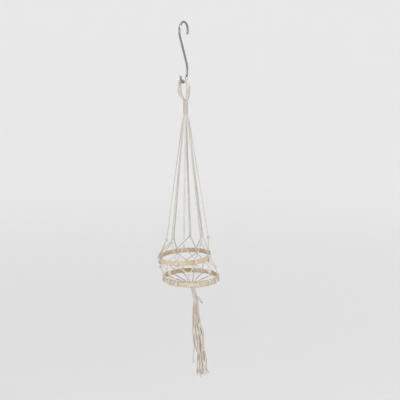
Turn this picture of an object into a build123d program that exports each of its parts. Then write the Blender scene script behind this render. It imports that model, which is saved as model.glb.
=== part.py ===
from build123d import *
import math
import os

# A hanging macrame planter on an S-hook. Millimetres, +Z up. The origin is the centre of the
# rail that the hook hangs on. +X is to the right and +Y to the back of the hanging planter.

# ---- Driving dimensions -------------------------------------------------------------------
STRAND = 2.0  # diameter of one cotton strand
TOUCH = 0.05  # gap left between two pieces that rest against each other

# S-hook
WIRE = 4.0
WIRE_TIP_ROUNDING = 1.8
RAIL_BEND = 17.0  # centreline radius of the bend over the rail
LOOP_BEND = 12.5  # centreline radius of the bend that carries the loop
LOOP_BEND_Z = -82.5
SHANK_BEND = 32.5  # the wider bend by which the wire runs from there into its shank
SHANK_BEND_ANGLE = -28.4  # where one bend passes into the other, from the horizontal
HOOK_TURN = 26.0  # the hook's plane, turned from the Y-Z plane towards +X
TOP_TIP_ANGLE = -25.0  # where the upper bend ends behind the rail, from the horizontal
LOW_TIP_ANGLE = 172.0  # where the lower bend ends at the front, from the horizontal

# Hanging loop
LOOP_TOP_Z = -88.4
LOOP_BOTTOM_Z = -128.4
LOOP_OUTER = 12.0  # half the loop's width across both legs
LOOP_EYE = 4.2  # half the width of the eye
EYE_TOP_Z = -92.2
EYE_BOTTOM_Z = -121.0
LOOP_DEPTH = 7.6
EYE_POINT_X = 1.0  # the foot of the eye, where the legs meet
EYE_POINT_HANDLES = (0.4, 2.6)  # the eye's two sides come into its foot from these places
FOOT_HANDLE = 1.0  # how far outside the neck the legs come into it
OUTER_PULL = 14.0  # how far down the outside runs straight before it turns in
EYE_PULL = 12.0
FOOT_PULL = 12.0  # how far above the neck the outside starts to turn in
POINT_PULL = 8.0

# Neck
NECK_X = 3.7
NECK_TOP_Z = -128.4
NECK_BOTTOM_Z = -155.0
NECK_CORE = 7.4
NECK_WRAP = 9.8
NECK_WRAP_CHAMFER = 0.8
FAN_RADIUS = 5.15  # ring on which the sixteen strands leave the neck
FAN_START = 0.6  # how far below the neck each strand starts, so that its slanting rim clears

# First row of knots
KNOT = 5.6
KNOT_ROW_X = 6.5
KNOT_ROW_RADIUS = 40.0
KNOT_ANGLES = [0.0, 44.0, 83.0, 133.0, 180.0, 223.0, 261.0, 311.0]
KNOT_HEIGHTS = [-390.5, -393.0, -398.0, -400.0, -396.5, -394.5, -399.0, -395.0]

# Hoops: flat strips bent into rings
HOOP_HEIGHT = 8.4
HOOP_THICKNESS = 2.4
HOOP_EDGE = 0.6  # rounding of the strip's edges
UPPER_HOOP_RADIUS = 50.9  # outer radius
UPPER_HOOP_CENTRE = (0.6, 0.0, -429.6)
UPPER_HOOP_TILT = 3.8  # the right side stands higher
LOWER_HOOP_RADIUS = 53.6
LOWER_HOOP_CENTRE = (13.3, 0.0, -471.0)

# Lashings
LASHING_WRAP = 1.8  # how far the flattened turns stand off the strip
LASHING_CORNER = 1.6
UPPER_LASHING_ANGLES = [22.0, 63.0, 107.0, 157.0, 202.0, 254.0, 295.0, 336.0]
UPPER_LASHING_WIDTH = 4.4
LOWER_LASHING_ANGLES = [
    -10.0, 12.0, 40.0, 66.0, 84.0, 108.0, 131.0, 152.0,
    172.0, 191.0, 220.0, 239.0, 261.0, 284.0, 309.0, 332.0,
]
LOWER_LASHING_WIDTH = 3.6
NET_END = 1.2  # how far a slanting strand stops short of a lashing's top, so that its rim clears
NET_START = 1.5  # how far it starts below a lashing

# Knots of the middle net
MIDDLE_KNOT = 5.2
MIDDLE_ROW_CENTRE = (7.4, 0.0, -450.0)
MIDDLE_ROW_RADIUS = 53.0
MIDDLE_KNOT_ANGLES = [1.0, 53.0, 94.0, 142.0, 181.0, 229.0, 273.0, 320.0]

# Gather under the base
GATHER_TOP = (14.5, 0.0, -482.5)
GATHER_LEAN = 12.6  # leans to the right on its way down
GATHER_NECK = 7.2
GATHER_HEAD = 10.6
GATHER_HEAD_HEIGHT = 4.0
GATHER_CROWN = 1.0  # how far the head stands above the gather's top
GATHER_SHOULDER = 7.0
GATHER_END = 33.0
BASE_LANDING = 0.4  # the base strands land on the head's side, this far below the gather's top
BASE_START = 0.6  # how far a base strand starts from the foot of its lashing
BASE_END = 0.7  # how far it stops short of the head, so that its rim clears
WRAP_DIAMETER = 9.2
WRAP_TAIL_POINTS = [(25.9, -1.2, -509.4), (29.8, -1.9, -511.6), (32.9, -2.7, -515.4), (34.9, -3.1, -519.8)]

# Tassel: the bundle's middle at each level (x, z) and how far it has opened there
TASSEL_LEVELS = [
    (22.6, -520.6, 1.00),
    (23.1, -541.0, 1.22),
    (24.4, -566.0, 1.55),
    (27.9, -592.0, 1.72),
    (31.4, -618.0, 1.80),
    (34.0, -643.5, 1.95),
    (35.4, -666.0, 2.25),
]
TASSEL_RINGS = [(5, 1.78, 20.0), (11, 4.05, 0.0)]  # strands in the ring, its radius, first angle
# How far each strand strays from its place in the bundle at each level, chosen by hand
TASSEL_STRAY = [
    [(0.0, 0.0), (0.3, 0.1), (-0.4, 0.3), (0.3, -0.4), (0.5, 0.2), (-0.4, 0.4), (0.6, -0.3)],
    [(0.0, 0.0), (-0.2, 0.2), (0.4, -0.3), (0.5, 0.3), (-0.3, 0.5), (0.4, -0.4), (-0.5, 0.6)],
    [(0.0, 0.0), (0.2, -0.2), (0.4, 0.4), (-0.5, 0.3), (0.3, -0.5), (-0.6, 0.2), (0.4, 0.7)],
    [(0.0, 0.0), (-0.1, 0.3), (-0.5, -0.2), (0.2, 0.5), (-0.6, -0.3), (0.4, 0.5), (-0.7, 0.2)],
    [(0.0, 0.0), (0.2, 0.2), (-0.2, 0.5), (0.5, -0.2), (-0.4, 0.5), (0.6, 0.3), (-0.2, -0.8)],
    [(0.0, 0.0), (0.4, -0.1), (0.1, 0.6), (0.9, -0.3), (0.2, 0.7), (1.2, -0.4), (2.9, 0.3)],
    [(0.0, 0.0), (-0.2, 0.3), (0.7, 0.2), (0.0, -0.5), (0.8, 0.6), (0.2, 0.9), (1.6, 0.9)],
    [(0.0, 0.0), (0.3, 0.1), (-0.3, 0.7), (0.6, 0.2), (-0.4, 0.9), (0.5, 0.3), (-0.5, 1.3)],
    [(0.0, 0.0), (-0.3, 0.1), (0.4, 0.5), (-0.5, 0.3), (0.5, 0.9), (-0.6, 0.4), (0.3, 1.2)],
    [(0.0, 0.0), (-0.1, 0.3), (-0.7, -0.2), (0.0, 0.6), (-0.9, 0.0), (-0.1, 0.8), (-0.9, 0.6)],
    [(0.0, 0.0), (-0.5, -0.1), (-0.1, 0.6), (-0.9, -0.2), (-0.3, 0.5), (-1.2, 0.0), (-0.5, 0.7)],
    [(0.0, 0.0), (-0.3, 0.0), (-1.3, 0.3), (-3.0, 0.1), (-5.6, 0.3), (-7.9, 0.2), (-8.9, 0.4)],
    [(0.0, 0.0), (-0.3, -0.3), (-0.9, 0.2), (-0.2, -0.6), (-1.1, -0.1), (-0.3, -0.8), (-1.0, -0.5)],
    [(0.0, 0.0), (0.1, -0.4), (-0.5, 0.1), (0.2, -0.7), (-0.5, -0.3), (0.3, -0.9), (-0.4, -0.6)],
    [(0.0, 0.0), (0.2, -0.1), (0.0, -0.7), (0.7, -0.1), (0.0, -0.8), (0.9, -0.5), (0.4, -1.3)],
    [(0.0, 0.0), (0.3, -0.2), (0.6, 0.2), (0.3, -0.6), (1.1, 0.0), (0.8, -0.8), (1.9, -0.4)],
]
SHORT_STRAND = 12  # this strand stops one level early
TASSEL_ENDS = [0.0, -2.5, 1.5, -1.0, 3.0, 1.0, -3.0, 2.0, -1.5, 2.5, -2.0, 0.0, 1.0, -3.5, 0.5, 2.0]

RUN_SHARE = 0.45  # how much of a run the arc at its end may use
CORDS = len(KNOT_ANGLES)
os.makedirs("parts", exist_ok=True)


# ---- Helpers ------------------------------------------------------------------------------
def polar(centre, radius, angle, height):
    """A point at an angle on a level circle."""
    turn = math.radians(angle)
    return Vector(centre[0] + radius * math.cos(turn), centre[1] + radius * math.sin(turn), height)


def between(start, end, gap_at_start, gap_at_end):
    """The stretch from start to end with a gap left at each end."""
    direction = (end - start).normalized()
    return start + direction * gap_at_start, end - direction * gap_at_end


def sideways(angle, distance):
    """A level step along the circle at this angle."""
    turn = math.radians(angle)
    return Vector(-math.sin(turn), math.cos(turn), 0) * distance


def hoop_point(plane, radius, angle, height):
    """A point on a hoop, by its radius, angle and height above the hoop's middle."""
    turn = math.radians(angle)
    return plane.from_local_coords(Vector(radius * math.cos(turn), radius * math.sin(turn), height))


def strip_section(plane, radius, angle):
    """The plane that cuts a hoop's strip square across, centred on the strip."""
    turn = math.radians(angle)
    world_out = plane.from_local_coords(Vector(math.cos(turn), math.sin(turn), 0)) - plane.origin
    centre = plane.origin + world_out * (radius - HOOP_THICKNESS / 2)
    return Plane(origin=centre, x_dir=world_out, z_dir=world_out.cross(plane.z_dir))


def bend_radii(points):
    """The largest arc that the two runs at each inner point allow."""
    radii = []
    for before, here, after in zip(points, points[1:], points[2:]):
        first = Vector(*here) - Vector(*before)
        second = Vector(*after) - Vector(*here)
        half_turn = math.radians(first.get_angle(second) / 2)
        radii.append(RUN_SHARE * min(first.length, second.length) / math.tan(half_turn))
    return radii


def save(builder, name):
    """Labels a finished piece and writes it."""
    builder.part.label = name
    export_step(builder.part, f"parts/{name}.step")


# ---- S-hook -------------------------------------------------------------------------------
hook_turn = math.radians(HOOK_TURN)
hook_forward = Vector(math.sin(hook_turn), math.cos(hook_turn), 0)
hook_plane = Plane(origin=(0, 0, 0), x_dir=hook_forward, z_dir=hook_forward.cross(Vector(0, 0, 1)))
# The two lower bends touch, so their centres lie on one line through the place where they meet.
bend_meet = math.radians(SHANK_BEND_ANGLE)
centre_gap = SHANK_BEND - LOOP_BEND
shank_centre = (-centre_gap * math.cos(bend_meet), LOOP_BEND_Z - centre_gap * math.sin(bend_meet))
# The straight shank touches the rail bend and the wider bend, so it crosses the line of their
# centres at a fixed angle.
centre_line = math.degrees(math.atan2(-shank_centre[1], -shank_centre[0]))
shank_angle = math.degrees(math.acos((RAIL_BEND + SHANK_BEND) / math.hypot(*shank_centre)))
upper_start = centre_line + 180 - shank_angle
shank_start = centre_line - shank_angle

with BuildPart() as s_hook:
    with BuildLine(hook_plane) as wire_path:
        rail_arc = CenterArc((0, 0), RAIL_BEND, TOP_TIP_ANGLE, upper_start - TOP_TIP_ANGLE)
        shank_arc = CenterArc(shank_centre, SHANK_BEND, shank_start, SHANK_BEND_ANGLE - shank_start)
        CenterArc((0, LOOP_BEND_Z), LOOP_BEND, SHANK_BEND_ANGLE, LOW_TIP_ANGLE - 360 - SHANK_BEND_ANGLE)
        Line(rail_arc @ 1, shank_arc @ 0)
    with BuildSketch(Plane(origin=wire_path.line @ 0, z_dir=wire_path.line % 0)):
        Circle(WIRE / 2)
    sweep()
    ends = s_hook.faces().filter_by(GeomType.PLANE)
    fillet(ends.edges(), WIRE_TIP_ROUNDING)
save(s_hook, "s_hook")

# ---- Hanging loop -------------------------------------------------------------------------
loop_right = Vector(math.cos(hook_turn), -math.sin(hook_turn), 0)
loop_plane = Plane(origin=(0, 0, 0), x_dir=loop_right, z_dir=loop_right.cross(Vector(0, 0, 1)))
neck_shift = NECK_X / math.cos(hook_turn)
bend_centre_z = LOOP_TOP_Z - LOOP_OUTER
eye_centre_z = EYE_TOP_Z - LOOP_EYE

with BuildPart() as hanging_loop:
    with BuildSketch(loop_plane.offset(-LOOP_DEPTH / 2)):
        with BuildLine():
            crown = CenterArc((0, bend_centre_z), LOOP_OUTER, 0, 180)
            Bezier(
                crown @ 1,
                (-LOOP_OUTER, bend_centre_z - OUTER_PULL),
                (neck_shift - NECK_CORE / 2 - FOOT_HANDLE, LOOP_BOTTOM_Z + FOOT_PULL),
                (neck_shift - NECK_CORE / 2, LOOP_BOTTOM_Z),
            )
            Line((neck_shift - NECK_CORE / 2, LOOP_BOTTOM_Z), (neck_shift + NECK_CORE / 2, LOOP_BOTTOM_Z))
            Bezier(
                (neck_shift + NECK_CORE / 2, LOOP_BOTTOM_Z),
                (neck_shift + NECK_CORE / 2 + FOOT_HANDLE, LOOP_BOTTOM_Z + FOOT_PULL),
                (LOOP_OUTER, bend_centre_z - OUTER_PULL),
                crown @ 0,
            )
        make_face()
        with BuildLine():
            eye = CenterArc((0, eye_centre_z), LOOP_EYE, 0, 180)
            eye_point = (EYE_POINT_X, EYE_BOTTOM_Z)
            left_handle, right_handle = [(x, EYE_BOTTOM_Z + POINT_PULL) for x in EYE_POINT_HANDLES]
            Bezier(eye @ 1, (-LOOP_EYE, eye_centre_z - EYE_PULL), left_handle, eye_point)
            Bezier(eye_point, right_handle, (LOOP_EYE, eye_centre_z - EYE_PULL), eye @ 0)
        make_face(mode=Mode.SUBTRACT)
    extrude(amount=LOOP_DEPTH)
save(hanging_loop, "hanging_loop")

# ---- Neck ---------------------------------------------------------------------------------
neck_length = NECK_TOP_Z - NECK_BOTTOM_Z
with BuildPart() as neck_core:
    with BuildSketch(Plane.XY.offset(NECK_BOTTOM_Z)):
        with Locations((NECK_X, 0)):
            Circle(NECK_CORE / 2)
    extrude(amount=neck_length - TOUCH)
save(neck_core, "neck_core")

with BuildPart() as neck_wrap:
    with BuildSketch(Plane.XY.offset(NECK_BOTTOM_Z)):
        with Locations((NECK_X, 0)):
            Circle(NECK_WRAP / 2)
            Circle(NECK_CORE / 2, mode=Mode.SUBTRACT)
    extrude(amount=neck_length - TOUCH)
    top_rims = neck_wrap.edges().filter_by(GeomType.CIRCLE).group_by(Axis.Z)[-1]
    chamfer(top_rims.sort_by(SortBy.RADIUS)[-1], NECK_WRAP_CHAMFER)
save(neck_wrap, "neck_wrap")

# ---- First row of knots and the suspension cords above it ---------------------------------
knots = [
    polar((KNOT_ROW_X, 0), KNOT_ROW_RADIUS, angle, height)
    for angle, height in zip(KNOT_ANGLES, KNOT_HEIGHTS)
]

with BuildPart() as first_row_knots:
    with Locations(*knots):
        Sphere(KNOT / 2)
save(first_row_knots, "first_row_knots")

fan_step = 360 / (2 * CORDS)
for n in range(CORDS):
    with BuildPart() as suspension_cord:
        for side in (-1, 1):
            exit_angle = n * 2 * fan_step + side * fan_step / 2
            top = polar((NECK_X, 0), FAN_RADIUS, exit_angle, NECK_BOTTOM_Z)
            bottom = knots[n] + sideways(KNOT_ANGLES[n], side * (STRAND / 2 + TOUCH))
            start, end = between(top, bottom, FAN_START, KNOT / 2 + TOUCH)
            with BuildSketch(Plane(origin=start, z_dir=end - start)):
                Circle(STRAND / 2)
            extrude(amount=(end - start).length)
    save(suspension_cord, f"suspension_cord_{n + 1}")

# ---- Hoops --------------------------------------------------------------------------------
tilt = math.radians(UPPER_HOOP_TILT)
upper_plane = Plane(
    origin=UPPER_HOOP_CENTRE,
    x_dir=(math.cos(tilt), 0, math.sin(tilt)),
    z_dir=(-math.sin(tilt), 0, math.cos(tilt)),
)
lower_plane = Plane(origin=LOWER_HOOP_CENTRE)

hoops = {"upper_hoop": (upper_plane, UPPER_HOOP_RADIUS), "lower_hoop": (lower_plane, LOWER_HOOP_RADIUS)}
for name, (plane, radius) in hoops.items():
    with BuildPart() as hoop:
        with BuildSketch(plane.offset(-HOOP_HEIGHT / 2)):
            Circle(radius)
            Circle(radius - HOOP_THICKNESS, mode=Mode.SUBTRACT)
        extrude(amount=HOOP_HEIGHT)
        fillet(hoop.edges(), HOOP_EDGE)
    save(hoop, name)

lashings = {
    "upper_lashings": (upper_plane, UPPER_HOOP_RADIUS, UPPER_LASHING_ANGLES, UPPER_LASHING_WIDTH),
    "lower_lashings": (lower_plane, LOWER_HOOP_RADIUS, LOWER_LASHING_ANGLES, LOWER_LASHING_WIDTH),
}
sleeve_depth = HOOP_THICKNESS + 2 * LASHING_WRAP
sleeve_height = HOOP_HEIGHT + 2 * LASHING_WRAP
for name, (plane, radius, angles, width) in lashings.items():
    arc = math.degrees(width / radius)
    with BuildPart() as lashing:
        for angle in angles:
            with BuildSketch(strip_section(plane, radius, angle - arc / 2)):
                RectangleRounded(sleeve_depth, sleeve_height, LASHING_CORNER)
                Rectangle(HOOP_THICKNESS + TOUCH, HOOP_HEIGHT + TOUCH, mode=Mode.SUBTRACT)
            revolve(axis=Axis(plane.origin, plane.z_dir), revolution_arc=arc)
    save(lashing, name)

# ---- Upper net: from each first-row knot out to the two lashings beside it ------------------
lashing_top = HOOP_HEIGHT / 2 + LASHING_WRAP
strip_middle = HOOP_THICKNESS / 2
for n in range(CORDS):
    with BuildPart() as upper_net_cord:
        for side, mate in ((-1, n - 1), (1, n)):
            angle = UPPER_LASHING_ANGLES[mate]
            foot = hoop_point(upper_plane, UPPER_HOOP_RADIUS - strip_middle, angle, lashing_top)
            foot += sideways(angle, -side * (STRAND / 2 + TOUCH))
            start, end = between(knots[n], foot, KNOT / 2 + TOUCH, NET_END)
            with BuildSketch(Plane(origin=start, z_dir=end - start)):
                Circle(STRAND / 2)
            extrude(amount=(end - start).length)
    save(upper_net_cord, f"upper_net_cord_{n + 1}")

# ---- Middle net: lashing to knot to lashing, between the hoops ------------------------------
middle_knots_at = [
    polar(MIDDLE_ROW_CENTRE, MIDDLE_ROW_RADIUS, angle, MIDDLE_ROW_CENTRE[2]) for angle in MIDDLE_KNOT_ANGLES
]

with BuildPart() as middle_knots:
    with Locations(*middle_knots_at):
        Sphere(MIDDLE_KNOT / 2)
save(middle_knots, "middle_knots")

for n in range(CORDS):
    with BuildPart() as middle_net_cord:
        for side, mate in ((-1, n - 1), (1, n)):
            angle = UPPER_LASHING_ANGLES[mate]
            head = hoop_point(upper_plane, UPPER_HOOP_RADIUS - strip_middle, angle, -lashing_top)
            head += sideways(angle, -side * (STRAND / 2 + TOUCH))
            start, end = between(head, middle_knots_at[n], NET_START, MIDDLE_KNOT / 2 + TOUCH)
            with BuildSketch(Plane(origin=start, z_dir=end - start)):
                Circle(STRAND / 2)
            extrude(amount=(end - start).length)
        for mate in (2 * n, 2 * n + 1):
            angle = LOWER_LASHING_ANGLES[mate]
            foot = hoop_point(lower_plane, LOWER_HOOP_RADIUS - strip_middle, angle, lashing_top)
            start, end = between(middle_knots_at[n], foot, MIDDLE_KNOT / 2 + TOUCH, NET_END)
            with BuildSketch(Plane(origin=start, z_dir=end - start)):
                Circle(STRAND / 2)
            extrude(amount=(end - start).length)
    save(middle_net_cord, f"middle_net_cord_{n + 1}")

# ---- Gather under the base --------------------------------------------------------------------
lean = math.radians(GATHER_LEAN)
gather_plane = Plane(
    origin=GATHER_TOP,
    x_dir=(math.cos(lean), 0, math.sin(lean)),
    z_dir=(-math.sin(lean), 0, math.cos(lean)),
)
section_plane = Plane(origin=GATHER_TOP, x_dir=gather_plane.x_dir, z_dir=(0, -1, 0))
gather_axis = Axis(gather_plane.origin, gather_plane.z_dir)

with BuildPart() as gather_core:
    with BuildSketch(section_plane):
        with BuildLine():
            Polyline(
                (0, GATHER_CROWN),
                (GATHER_HEAD / 2, GATHER_CROWN),
                (GATHER_HEAD / 2, GATHER_CROWN - GATHER_HEAD_HEIGHT),
                (GATHER_NECK / 2, -GATHER_SHOULDER),
                (GATHER_NECK / 2, -GATHER_END),
            )
            CenterArc((0, -GATHER_END), GATHER_NECK / 2, 270, 90)
            Line((0, -GATHER_END - GATHER_NECK / 2), (0, GATHER_CROWN))
        make_face()
    revolve(axis=gather_axis)
save(gather_core, "gather_core")

with BuildPart() as gather_wrap:
    with BuildSketch(gather_plane.offset(-GATHER_END)):
        Circle(WRAP_DIAMETER / 2)
        Circle(GATHER_NECK / 2 + TOUCH / 2, mode=Mode.SUBTRACT)
    extrude(amount=GATHER_END - GATHER_SHOULDER)
save(gather_wrap, "gather_wrap")

# ---- Base net: from the lower lashings in to the gather --------------------------------------
lower_count = len(LOWER_LASHING_ANGLES)
for quarter in range(4):
    with BuildPart() as base_net_cords:
        for n in range(quarter * 4, quarter * 4 + 4):
            angle = LOWER_LASHING_ANGLES[n]
            heel = hoop_point(
                lower_plane,
                LOWER_HOOP_RADIUS - HOOP_THICKNESS - LASHING_WRAP,
                angle,
                -HOOP_HEIGHT / 2,
            )
            centre = hoop_point(gather_plane, 0, 0, -BASE_LANDING)
            landing = polar((centre.X, centre.Y), GATHER_HEAD / 2, n * 360 / lower_count, centre.Z)
            start, end = between(heel, landing, BASE_START, BASE_END)
            with BuildSketch(Plane(origin=start, z_dir=end - start)):
                Circle(STRAND / 2)
            extrude(amount=(end - start).length)
    save(base_net_cords, f"base_net_cords_{quarter + 1}")

# ---- Free cords: the wrap's tail and the tassel ------------------------------------------------
tail_radii = bend_radii(WRAP_TAIL_POINTS)
with BuildPart() as wrap_tail:
    with BuildLine() as tail_path:
        FilletPolyline(*WRAP_TAIL_POINTS, radius=tail_radii)
    with BuildSketch(Plane(origin=tail_path.line @ 0, z_dir=tail_path.line % 0)):
        Circle(STRAND / 2)
    sweep()
save(wrap_tail, "wrap_tail")
print("wrap_tail radii:", [round(r, 1) for r in tail_radii])

places = []
for count, ring, first in TASSEL_RINGS:
    for k in range(count):
        turn = math.radians(first + k * 360 / count)
        places.append((ring * math.cos(turn), ring * math.sin(turn)))

for n, ((across, deep), stray) in enumerate(zip(places, TASSEL_STRAY)):
    levels = TASSEL_LEVELS[:-1] if n + 1 == SHORT_STRAND else TASSEL_LEVELS
    route = []
    for (middle, height, opening), (stray_x, stray_y) in zip(levels, stray):
        route.append((middle + across * opening + stray_x, deep * opening + stray_y, height))
    last = route[-1]
    route[-1] = (last[0], last[1], last[2] + TASSEL_ENDS[n])
    radii = bend_radii(route)
    with BuildPart() as tassel_strand:
        with BuildLine() as strand_path:
            FilletPolyline(*route, radius=radii)
        with BuildSketch(Plane(origin=strand_path.line @ 0, z_dir=strand_path.line % 0)):
            Circle(STRAND / 2)
        sweep()
    save(tassel_strand, f"tassel_strand_{n + 1}")
    length = strand_path.wires()[0].length
    tube = length * math.pi * STRAND**2 / 4
    print(
        f"tassel_strand_{n + 1}: length {length:.1f}, radii from {min(radii):.0f},",
        f"volume / (section x length) {tassel_strand.part.volume / tube:.4f}",
    )
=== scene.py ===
import math
import random

import bpy
import numpy as np
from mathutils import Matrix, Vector


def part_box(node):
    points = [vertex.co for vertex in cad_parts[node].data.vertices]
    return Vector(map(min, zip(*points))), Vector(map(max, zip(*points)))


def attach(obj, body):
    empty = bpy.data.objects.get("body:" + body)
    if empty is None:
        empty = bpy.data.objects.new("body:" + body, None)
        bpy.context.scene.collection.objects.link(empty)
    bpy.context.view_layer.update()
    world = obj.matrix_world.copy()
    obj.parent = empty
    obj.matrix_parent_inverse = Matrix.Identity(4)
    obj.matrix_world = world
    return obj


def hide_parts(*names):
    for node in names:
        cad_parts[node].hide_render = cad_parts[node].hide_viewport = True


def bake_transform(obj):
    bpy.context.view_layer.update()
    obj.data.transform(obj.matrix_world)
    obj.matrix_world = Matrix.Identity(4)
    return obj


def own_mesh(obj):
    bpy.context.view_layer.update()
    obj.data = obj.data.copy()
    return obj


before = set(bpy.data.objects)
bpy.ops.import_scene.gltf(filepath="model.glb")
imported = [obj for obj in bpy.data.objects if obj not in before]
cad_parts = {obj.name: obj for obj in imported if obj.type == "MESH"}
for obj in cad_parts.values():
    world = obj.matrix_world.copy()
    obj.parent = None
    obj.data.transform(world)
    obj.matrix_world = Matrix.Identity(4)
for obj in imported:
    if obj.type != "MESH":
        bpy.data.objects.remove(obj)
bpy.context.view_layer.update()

MM = 0.001
UP = np.array((0.0, 0.0, 1.0))
random.seed(11)


# ---- Sizes, in metres -------------------------------------------------------------------------
STRAND = 2.0 * MM
PITCH = 6.4 * MM  # length of one turn of a strand's three plies
WRAP_STRAND = 1.65 * MM
WRAP_PITCH = 4.5 * MM
FIBRE_RADIUS = 0.11 * MM
FRAY_FIBRES = 7  # loose fibres at the open end of each ply
# The distance between the points of a line: strands, bends, opened ends, wraps and hitches.
STRAND_STEP = 0.95 * MM
BEND_STEP = 0.8 * MM
OPEN_STEP = 0.7 * MM
WRAP_STEP = 0.62 * MM
HITCH_STEP = 0.55 * MM

# The hanging loop's plane is square to the hook's wire.
HOOK_TURN = math.radians(26.0)
NECK_AXIS_X = 3.7 * MM
# A suspension strand starts inside the neck's wrap and leaves over its lower lip.
NECK_INSIDE_RADIUS = 2.0 * MM
NECK_INSIDE_RISE = 4.5 * MM
NECK_LIP_RADIUS = 4.0 * MM
NECK_LIP_DROP = 2.2 * MM
FAN_START = 12 * MM
INTO_KNOT = 1.6 * MM
# The wraps: radius of the coil, number of turns, and how much its turns wander.
NECK_COIL_RADIUS = 4.08 * MM
NECK_TURNS = 16
GATHER_COIL_RADIUS = 3.82 * MM
GATHER_TURNS = 15.5
GATHER_WRAPPED = (7.6 * MM, 32.2 * MM)
WRAP_WANDER = 0.12 * MM
# Strands of the net: how far they reach into the ties at their ends, and how slack they are.
UPPER_TIES = dict(before=1.6 * MM, after=2.0 * MM, amount=0.35 * MM)
MIDDLE_TIES = dict(before=2.0 * MM, after=2.0 * MM, amount=0.25 * MM)
BASE_TIES = dict(before=2.2 * MM, after=-1.0 * MM, amount=0.3 * MM)
# Overhand knots: the smallest and largest reach and height, in millimetres.
FIRST_KNOT_REACH, FIRST_KNOT_HEIGHT = (3.0, 3.4), (6.0, 6.8)
MIDDLE_KNOT_REACH, MIDDLE_KNOT_HEIGHT = (2.8, 3.1), (5.4, 6.0)

# The gather's axis leans to the right on its way down.
GATHER_TOP = np.array((14.5, 0.0, -482.5)) * MM
GATHER_LEAN = math.radians(12.6)

# Tassel: the bundle's middle (x, z) and how far it has opened, level by level. The levels are the
# CAD's, moved a little to where the photograph shows the bundle's two sides.
TASSEL_LEVELS = [
    (22.4, -520.6, 1.00),
    (22.3, -541.0, 1.36),
    (24.7, -566.0, 1.82),
    (28.3, -592.0, 2.10),
    (31.3, -618.0, 1.98),
    (33.9, -643.5, 2.08),
    (33.6, -666.0, 2.20),
]
# Levels added between those, and how far the strands stray there: they keep the kinks of
# the knots they were once tied in. The strands take these five patterns in turn.
KINK_LEVELS = [
    (22.3, -530.0, 1.15),
    (23.3, -554.5, 1.60),
    (26.4, -578.0, 1.99),
    (29.9, -606.5, 2.03),
    (32.8, -630.0, 2.00),
    (34.0, -655.5, 2.14),
]
KINKS = [
    [(0.7, -0.4), (-1.3, 0.8), (1.7, 0.5), (-1.5, -0.9), (1.4, 1.1), (-1.2, 0.3)],
    [(-0.5, 0.8), (1.6, -0.6), (-0.8, -1.2), (1.3, 0.9), (-1.8, -0.4), (1.0, 1.3)],
    [(0.4, 0.9), (1.3, -0.9), (-1.7, 0.2), (0.4, -1.3), (1.6, 0.7), (-0.8, -1.1)],
    [(-0.8, -0.5), (0.5, 1.3), (1.5, -0.8), (-1.3, 0.6), (-0.7, -1.0), (1.7, 0.4)],
    [(0.6, 0.7), (-1.6, -0.7), (0.8, 1.4), (1.6, -0.3), (-1.5, 0.8), (0.5, -1.2)],
]
SHORT_STRAND_DRIFT = [-0.2, -0.8, -2.1, -4.3, -6.9]
TASSEL_RINGS = [(5, 1.78, 20.0), (11, 4.05, 0.0)]
TASSEL_STRAY = [
    [(0.0, 0.0), (0.3, 0.1), (-0.4, 0.3), (0.3, -0.4), (0.5, 0.2), (-0.4, 0.4), (0.6, -0.3)],
    [(0.0, 0.0), (-0.2, 0.2), (0.4, -0.3), (0.5, 0.3), (-0.3, 0.5), (0.4, -0.4), (-0.5, 0.6)],
    [(0.0, 0.0), (0.2, -0.2), (0.4, 0.4), (-0.5, 0.3), (0.3, -0.5), (-0.6, 0.2), (0.4, 0.7)],
    [(0.0, 0.0), (-0.1, 0.3), (-0.5, -0.2), (0.2, 0.5), (-0.6, -0.3), (0.4, 0.5), (-0.7, 0.2)],
    [(0.0, 0.0), (0.2, 0.2), (-0.2, 0.5), (0.5, -0.2), (-0.4, 0.5), (0.6, 0.3), (-0.2, -0.8)],
    [(0.0, 0.0), (0.4, -0.1), (0.1, 0.6), (0.9, -0.3), (0.2, 0.7), (1.4, -0.4), (6.4, 0.3)],
    [(0.0, 0.0), (-0.2, 0.3), (0.7, 0.2), (0.0, -0.5), (0.8, 0.6), (0.2, 0.9), (1.6, 0.9)],
    [(0.0, 0.0), (0.3, 0.1), (-0.3, 0.7), (0.6, 0.2), (-0.4, 0.9), (0.5, 0.3), (-0.5, 1.3)],
    [(0.0, 0.0), (-0.3, 0.1), (0.4, 0.5), (-0.5, 0.3), (0.5, 0.9), (-0.6, 0.4), (0.3, 1.2)],
    [(0.0, 0.0), (-0.1, 0.3), (-0.7, -0.2), (0.0, 0.6), (-0.9, 0.0), (-0.3, 0.8), (-3.8, 0.6)],
    [(0.0, 0.0), (-0.5, -0.1), (-0.1, 0.6), (-0.9, -0.2), (-0.3, 0.5), (-1.2, 0.0), (-0.5, 0.7)],
    [(0.0, 0.0), (-0.3, 0.0), (-1.3, 0.3), (-3.0, 0.1), (-5.6, 0.3), (-7.9, 0.2), (-8.9, 0.4)],
    [(0.0, 0.0), (-0.3, -0.3), (-0.9, 0.2), (-0.2, -0.6), (-1.1, -0.1), (-0.3, -0.8), (-1.0, -0.5)],
    [(0.0, 0.0), (0.1, -0.4), (-0.5, 0.1), (0.2, -0.7), (-0.5, -0.3), (0.3, -0.9), (-0.4, -0.6)],
    [(0.0, 0.0), (0.2, -0.1), (0.0, -0.7), (0.7, -0.1), (0.0, -0.8), (0.9, -0.5), (0.4, -1.3)],
    [(0.0, 0.0), (0.3, -0.2), (0.6, 0.2), (0.3, -0.6), (1.1, 0.0), (0.8, -0.8), (3.2, -0.4)],
]
SHORT_STRAND = 12  # this strand stops one level early
TASSEL_ENDS = [
    -1.5, -3.0, -0.5, -2.3, 0.3, 0.0, -3.3, -0.3,
    -2.7, -0.1, -3.0, 0.0, -0.7, -3.4, -1.0, -0.3,
]
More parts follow.
